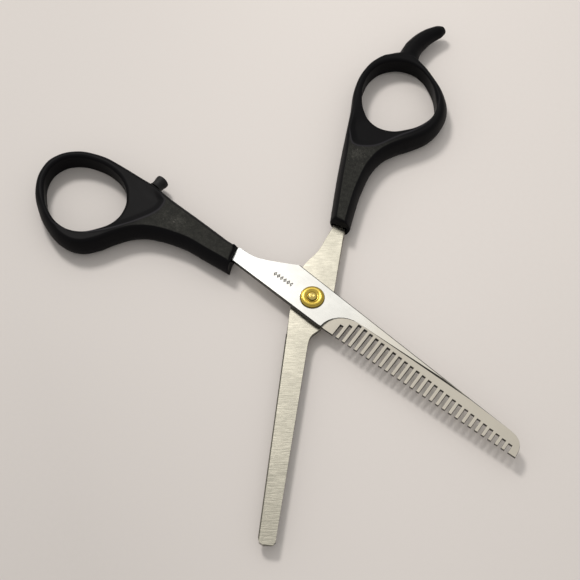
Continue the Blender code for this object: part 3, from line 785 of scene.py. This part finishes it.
def flank_lean(handle, sizes, spots, tallness, gap, inward, mouth, on_shank, on_hook):
    """How far each vertex moves sideways: draft, swell and the lug beside the comb blade."""
    to_ring = spots - np.array(handle.ring)
    bearing = np.sin(np.arctan2(to_ring[:, 1] * handle.side, to_ring[:, 0]))
    outer_flank = np.clip(bearing, 0.0, 1.0) ** 1.5
    draft = (sizes.ring_draft + sizes.outer_draft * outer_flank) * (1 - on_shank)
    draft = (draft + sizes.shank_draft * on_shank) * (1 - on_hook)
    fade = np.clip(1 - gap / sizes.draft_reach, 0.0, 1.0) ** 1.25
    swell = sizes.swell * (1 - on_hook) * (1 - on_shank)
    swell *= 1 - smooth_share(-bearing, *INNER_RAMP) * smooth_share(spots[:, 0], *SLIM_RAMP)
    lean = ((draft * tallness ** 1.6 - swell) * fade)[:, None] * inward
    if handle is THUMB:
        on_lug = smooth_share(spots[:, 0] - mouth, *LUG_RAMP)
        on_lug *= smooth_share(spots[:, 1], *LUG_SIDE_RAMP)
        lean += np.outer(on_lug, (sizes.lug_reach, sizes.lug_reach * 0.3))
    return lean


def shape_handle(work, handle, turn, sizes):
    """Lean the flanks in, hollow the dish and raise the ridge, alike above and below."""
    places = np.array([vert.co[:] for vert in work.verts])
    spots = turned_back(places[:, :2], turn)
    rise = places[:, 2] - MID
    tallness = np.clip(np.abs(rise) / HALF_HEIGHT, 0.0, 1.0)
    gap, inward, mouth = from_flanks(handle, turn, spots)
    apart, signed, along, to_end = from_ridge(handle, spots)
    on_shank = smooth_share(spots[:, 0], *SHANK_RAMP)
    on_hook = smooth_share(spots[:, 0], *HOOK_RAMP)
    lean = flank_lean(handle, sizes, spots, tallness, gap, inward, mouth, on_shank, on_hook)

    on_ridge = np.exp(-(apart / (sizes.ridge_width / 2)) ** 2)
    on_ridge *= smooth_share(along, *RIDGE_START_RAMP) * smooth_share(1 - along, *RIDGE_END_RAMP)
    dish = smooth_share(signed, *DISH_RAMP) * (1 - on_hook) * smooth_share(to_end, *DISH_END_RAMP)
    sink = sizes.dish_depth * dish + sizes.ridge_height * (1 - on_ridge) * (1 - on_hook)
    rise = rise - np.sign(rise) * sink * smooth_share(tallness, *SINK_LEVEL_RAMP)

    flat = (1 - smooth_share(signed, *FLAT_RIDGE_RAMP)) * smooth_share(tallness, *FLAT_LEVEL_RAMP)
    flat *= on_shank * smooth_share(gap, *FLAT_FLANK_RAMP)
    flat *= smooth_share(mouth - spots[:, 0], *FLAT_MOUTH_RAMP)
    # Where the ridge line gets its painted highlight: near the top and bottom, away from the
    # flanks.
    ridge_highlight_share = on_ridge * smooth_share(tallness, *HIGHLIGHT_LEVEL_RAMP) * (gap > HIGHLIGHT_INSET)

    flat_layer = work.verts.layers.float.new("flat")
    ridge_highlight_layer = work.verts.layers.float.new("ridge")
    moved = turned_out(spots + lean, turn)
    for vert, (x, y), up, level, line in zip(work.verts, moved, rise, flat, ridge_highlight_share):
        vert.co = (x, y, MID + up)
        vert[flat_layer] = level
        vert[ridge_highlight_layer] = line


def even_out(verts, rounds):
    """Relax a patch of a mesh towards its neighbours; its border stays where it is."""
    number = {vert: index for index, vert in enumerate(verts)}
    pairs = np.array([(number[vert], number[other]) for vert in verts
                      for other in (edge.other_vert(vert) for edge in vert.link_edges)
                      if other in number])
    near, far = pairs[:, 0], pairs[:, 1]
    total = len(verts)
    count = np.bincount(near, minlength=total)
    loose = count == np.array([len(vert.link_edges) for vert in verts])
    places = np.array([vert.co[:] for vert in verts])
    for _ in range(rounds):
        sums = [np.bincount(near, weights=places[far, axis], minlength=total) for axis in range(3)]
        middle = np.stack(sums, axis=1) / np.maximum(count, 1)[:, None]
        places[loose] += 0.5 * (middle - places)[loose]
    for vert, spot in zip(verts, places):
        vert.co = spot


def soften_hook(work, turn):
    """Round the finger rest's tip and the corner where it grows out of the ring."""
    along = turned_back([vert.co.xy[:] for vert in work.verts], turn)[:, 0]
    work.verts.ensure_lookup_table()
    for start, end, rounds in HOOK_PATCHES:
        patch = [work.verts[index] for index in np.flatnonzero((along > start) & (along < end))]
        if patch:
            even_out(patch, rounds)


def make_handle(handle, turn, sizes, colour):
    """Mould one handle from the fine mesh of its CAD node."""
    material = moulded_plastic(handle.slot, colour, turn, handle.scuff)
    work = fine_solid(handle.node, sizes.grain)
    relax(work, 4, 0.5)
    soften_hook(work, turn)
    shape_handle(work, handle, turn, sizes)
    relax(work, 2, 0.4)
    finish_piece(handle.piece, work, material, handle.body, [handle.node],
                 smooth_angle=radians(60))


# ---------------------------------------------------------------- operators

WALL_DEPTH = 0.45 * MM          # a face that reaches deeper below the top is a side wall
STRIP_WIDTH = 0.6 * MM          # a narrower face that is not tiny is a bevel
STRIP_AREA = 0.08 * MM ** 2
UPRIGHT = 0.95                  # normals that lean more are sides
GROUND_TILT = (0.97, 0.9985)    # the normals' rise on the ground face
SHORT_EDGE = 12 * MM            # edges longer than this get the wide back bevel


def side_share(face, top):
    """1 on a blade's side walls and bevels, which the steels paint dark as painted shade, 0 on the
    shallow step where the ground face starts.
    """
    if abs(face.normal.z) >= UPRIGHT:
        return 0.0
    wall = min(vert.co.z for vert in face.verts) < top - WALL_DEPTH
    area = face.calc_area()
    narrow = area / max(edge.calc_length() for edge in face.edges) < STRIP_WIDTH
    return float(wall or (narrow and area > STRIP_AREA))


def ground_share(face):
    """1 on the face that is ground to a slope, otherwise 0."""
    return float(GROUND_TILT[0] < face.normal.z < GROUND_TILT[1])


class SHEARS_OT_blades(bpy.types.Operator):
    """Refine the two blades: small edge bevels, ground face and satin finish."""

    bl_idname = "shears.blades"
    bl_label = "Blades"

    def execute(self, context):
        settings = context.scene.shears
        sizes, finishes = settings.blades, settings.finishes
        turn = settings.handles.rest_opening
        steel = comb_steel("comb_steel", finishes.polished, finishes.ground, turn, sizes.mark_pitch)
        satin = plain_steel("satin_steel", finishes.satin)
        for name, node, body, slot, material in (
                ("comb_blade_finished", "comb_blade", THUMB_HALF, "comb_steel", steel),
                ("plain_blade_finished", "straight_blade", FINGER_HALF, "blade_steel", satin)):
            work = merged_copy(node)
            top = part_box(node)[1].z
            break_edges(work, sizes.back_break, SHORT_EDGE, 1.0, segments=1)
            break_edges(work, sizes.edge_break, sizes.edge_break * 2.5, SHORT_EDGE)
            mark_faces(work, {"ground": ground_share, "side": lambda face: side_share(face, top)})
            finish_piece(name, work, material, body, [node], smooth_angle=radians(9))
        return {"FINISHED"}


class SHEARS_OT_handles(bpy.types.Operator):
    """Mould the thumb handle and the finger handle."""

    bl_idname = "shears.handles"
    bl_label = "Handles"

    def execute(self, context):
        sizes, colour = context.scene.shears.handles, context.scene.shears.finishes.plastic
        make_handle(THUMB, sizes.rest_opening, sizes, colour)
        make_handle(FINGER, 0.0, sizes, colour)
        return {"FINISHED"}


# Each point is a share of the radius and a drop below the crown in millimetres.
ROSETTE_CURVE = ((0.44, 0.34), (0.49, 0.30), (0.54, 0.17), (0.60, 0.06), (0.67, 0.0),
                 (0.74, 0.02), (0.80, 0.09), (0.835, 0.17), (0.86, 0.19), (0.89, 0.22),
                 (0.94, 0.36), (0.975, 0.52), (0.995, 0.68))
RIVET_CURVE = ((0.30, 0.01), (0.35, 0.07), (0.40, 0.07), (0.46, 0.04), (0.62, 0.09),
               (0.80, 0.20), (0.93, 0.35), (1.0, 0.52))
# Painted shade sits in the hollows and a painted dark reflection round the rosette's rim, each
# given by its radius and its width.
ROSETTE_PAINTED_SHADE = ((1.45 * MM, 0.30 * MM), (2.98 * MM, 0.14 * MM), (3.55 * MM, 0.55 * MM))
RIVET_PAINTED_SHADE = ((0.49 * MM, 0.12 * MM), (1.32 * MM, 0.24 * MM))


def curve(radius, crown, points):
    """Profile points from shares of a radius and drops below a crown."""
    return [(radius * share, crown - drop * MM) for share, drop in points]


class SHEARS_OT_pivot(bpy.types.Operator):
    """Turn the brass rosette, the rivet and the washer below."""

    bl_idname = "shears.pivot"
    bl_label = "Pivot"

    def execute(self, context):
        settings = context.scene.shears
        brass = turned_brass("rosette_brass", settings.finishes.brass, ROSETTE_PAINTED_SHADE)
        rivet = turned_brass("rivet_brass", settings.finishes.rivet, RIVET_PAINTED_SHADE)
        for name, node, slot, material, profile in (
                ("rosette_turned", "pivot_rosette", "rosette_brass", brass, self.rosette()),
                ("rivet_turned", "pivot_rivet", "rivet_brass", rivet, self.rivet()),
                ("washer_turned", "back_washer", "washer_brass", brass, self.washer())):
            work = turned_piece(profile, settings.pivot.steps)
            bmesh.ops.translate(work, verts=work.verts, vec=(PIVOT.x, PIVOT.y, 0.0))
            finish_piece(name, work, material, FINGER_HALF, [node])
        return {"FINISHED"}

    def rosette(self):
        low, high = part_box("pivot_rosette")
        radius, bore, floor, rim = (high.x - low.x) / 2, 1.05 * MM, 0.34 * MM, 0.05 * MM
        return [(bore, low.z), (bore, high.z - floor), *curve(radius, high.z, ROSETTE_CURVE),
                (radius, low.z + rim), (radius, low.z), (bore, low.z)]

    def rivet(self):
        low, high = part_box("pivot_rivet")
        seat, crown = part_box("pivot_rosette")[0].z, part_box("pivot_rosette")[1].z
        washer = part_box("back_washer")[0].z
        neck, shoulder, head, back = 1.0 * MM, 1.5 * MM, 1.3 * MM, (high.x - low.x) / 2
        under_head, under_seat, under_washer = 0.32 * MM, 0.05 * MM, 0.1 * MM
        pinhole, deep, lip, soft = 0.12 * MM, 0.16 * MM, 0.03 * MM, 0.22 * MM
        return [(0.0, high.z - deep), (pinhole * 0.7, high.z - 0.14 * MM), (pinhole, high.z - lip),
                (pinhole * 1.7, high.z), *curve(head, high.z, RIVET_CURVE),
                (head, crown - under_head), (neck, crown - under_head), (neck, seat - under_seat),
                (shoulder, seat - under_seat), (shoulder, washer - under_washer),
                (back, washer - under_washer), (back, low.z + soft),
                *arc((back - soft, low.z + soft), soft, 0.0, -pi / 2, 5), (0.0, low.z)]

    def washer(self):
        low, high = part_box("back_washer")
        radius, bore, soft = (high.x - low.x) / 2, 1.55 * MM, 0.09 * MM
        return [(bore, high.z), *arc((radius - soft, high.z - soft), soft, pi / 2, 0.0, 4),
                *arc((radius - soft, low.z + soft), soft, 0.0, -pi / 2, 4), (bore, low.z),
                (bore, high.z)]


BUMPER_SEAT = (-60.0 * MM, 1.8 * MM)    # where its foot stands on the thumb handle's inner flank


class SHEARS_OT_bumper(bpy.types.Operator):
    """Make the soft stop between the handles."""

    bl_idname = "shears.bumper"
    bl_label = "Stop bumper"

    def execute(self, context):
        settings = context.scene.shears
        rubber = soft_rubber("bumper_rubber", settings.finishes.rubber)
        head, waist, stem, lip = 2.05 * MM, 1.85 * MM, 1.1 * MM, 0.35 * MM
        height, depth, foot, foot_top = 3.9 * MM, 3.0 * MM, 0.3 * MM, 0.9 * MM
        crown, head_depth, neck_depth = 0.06 * MM, 1.1 * MM, 1.9 * MM
        profile = [(0.0, height - crown), (head * 0.45, height - crown / 2),
                   *arc((head - lip, height - lip), lip, pi * 0.45, 0.0, 6),
                   (head, height - head_depth), (waist, height - neck_depth), (waist, foot_top),
                   (head, foot), (stem, foot), (stem, -depth), (0.0, -depth)]
        work = turned_piece(profile, settings.pivot.steps // 2)
        spot = (Matrix.Translation(PIVOT.xy.to_3d())
                @ Matrix.Rotation(settings.handles.rest_opening, 4, "Z"))
        spot = spot @ Matrix.Translation((*BUMPER_SEAT, MID)) @ Matrix.Rotation(-pi / 2, 4, "X")
        bmesh.ops.transform(work, matrix=spot, verts=work.verts)
        finish_piece("stop_bumper_soft", work, rubber, THUMB_HALF, ["stop_bumper"])
        return {"FINISHED"}


VIEW_MIDDLE = (-1.63 * MM, -6.43 * MM, 5.5 * MM)    # from the pivot's foot on the table
SENSOR_WIDTH = 36.0
CLIP_START, CLIP_END = 0.01, 20.0
STUDIO_COLOUR = (1.0, 0.985, 0.965, 1.0)

# The key light and the broad light that the blades reflect, both beyond the shears.
Lamp = namedtuple("Lamp", "swing elevation distance size colour")
KEY = Lamp(radians(27), radians(53), 0.80, 0.16, (1.0, 0.965, 0.93))
SHEEN = Lamp(0.0, radians(52), 0.70, 0.44, (1.0, 0.99, 0.96))


def stand(item, target, heading, elevation, distance):
    """Place a lamp or a camera at a distance from the target and face it."""
    flat = cos(elevation)
    direction = Vector((flat * cos(heading), flat * sin(heading), sin(elevation)))
    item.location = target + direction * distance
    item.rotation_euler = (-direction).to_track_quat("-Z", "Y").to_euler()


class SHEARS_OT_stage(bpy.types.Operator):
    """Set the floor, the lights and the camera."""

    bl_idname = "shears.stage"
    bl_label = "Stage"

    def execute(self, context):
        settings = context.scene.shears
        stage = settings.stage
        across, along, up = VIEW_MIDDLE
        target = Vector((PIVOT.x + across, PIVOT.y + along, up))
        self.floor(stage, settings.finishes)
        self.lamp("key", KEY, stage.key_power, target, stage.heading)
        self.lamp("sheen", SHEEN, stage.sheen_power, target, stage.heading)
        self.studio(stage.fill)
        self.camera(stage, target)
        return {"FINISHED"}

    def floor(self, stage, finishes):
        work = bmesh.new()
        bmesh.ops.create_grid(work, x_segments=8, y_segments=8, size=stage.floor_half)
        mesh = bpy.data.meshes.new("table")
        work.to_mesh(mesh)
        work.free()
        mesh.materials.append(pale_table("table", finishes.table, stage.painted_light_turn))
        show(bpy.data.objects.new("table", mesh))

    def lamp(self, name, lamp, power, target, heading):
        """A square soft light that faces the target."""
        light = bpy.data.lights.new(name, "AREA")
        light.shape = "SQUARE"
        light.size = lamp.size
        light.energy = power
        light.color = lamp.colour
        item = show(bpy.data.objects.new(name, light))
        stand(item, target, heading + pi + lamp.swing, lamp.elevation, lamp.distance)

    def studio(self, fill):
        """Even light from all round."""
        world = bpy.data.worlds.new("studio")
        world.use_nodes = True
        background = world.node_tree.nodes["Background"]
        background.inputs["Color"].default_value = STUDIO_COLOUR
        background.inputs["Strength"].default_value = fill
        bpy.context.scene.world = world
        bpy.context.scene.view_settings.view_transform = "Standard"

    def camera(self, stage, target):
        view = bpy.data.cameras.new("view")
        view.lens = stage.lens
        view.sensor_width = SENSOR_WIDTH
        view.clip_start, view.clip_end = CLIP_START, CLIP_END
        camera = show(bpy.data.objects.new("view", view))
        stand(camera, target, stage.heading, stage.elevation, stage.distance)
        bpy.context.scene.camera = camera


class SHEARS_PT_panel(bpy.types.Panel):
    """Buttons that build the pieces, in order."""

    bl_idname = "SHEARS_PT_panel"
    bl_label = "Thinning shears"
    bl_space_type = "VIEW_3D"
    bl_region_type = "UI"
    bl_category = "Shears"

    def draw(self, context):
        for operator in OPERATORS:
            self.layout.operator(operator.bl_idname)


OPERATORS = (SHEARS_OT_blades, SHEARS_OT_handles, SHEARS_OT_pivot, SHEARS_OT_bumper,
             SHEARS_OT_stage)
CLASSES = (HandleSizes, BladeSizes, PivotSizes, Finishes, StageSettings, ShearsSettings,
           *OPERATORS, SHEARS_PT_panel)


def register():
    for item in CLASSES:
        bpy.utils.register_class(item)
    bpy.types.Scene.shears = PointerProperty(type=ShearsSettings)


def unregister():
    del bpy.types.Scene.shears
    for item in reversed(CLASSES):
        bpy.utils.unregister_class(item)


def main():
    register()
    bpy.ops.shears.blades()
    bpy.ops.shears.handles()
    bpy.ops.shears.pivot()
    bpy.ops.shears.bumper()
    bpy.ops.shears.stage()


if __name__ == "__main__":
    main()
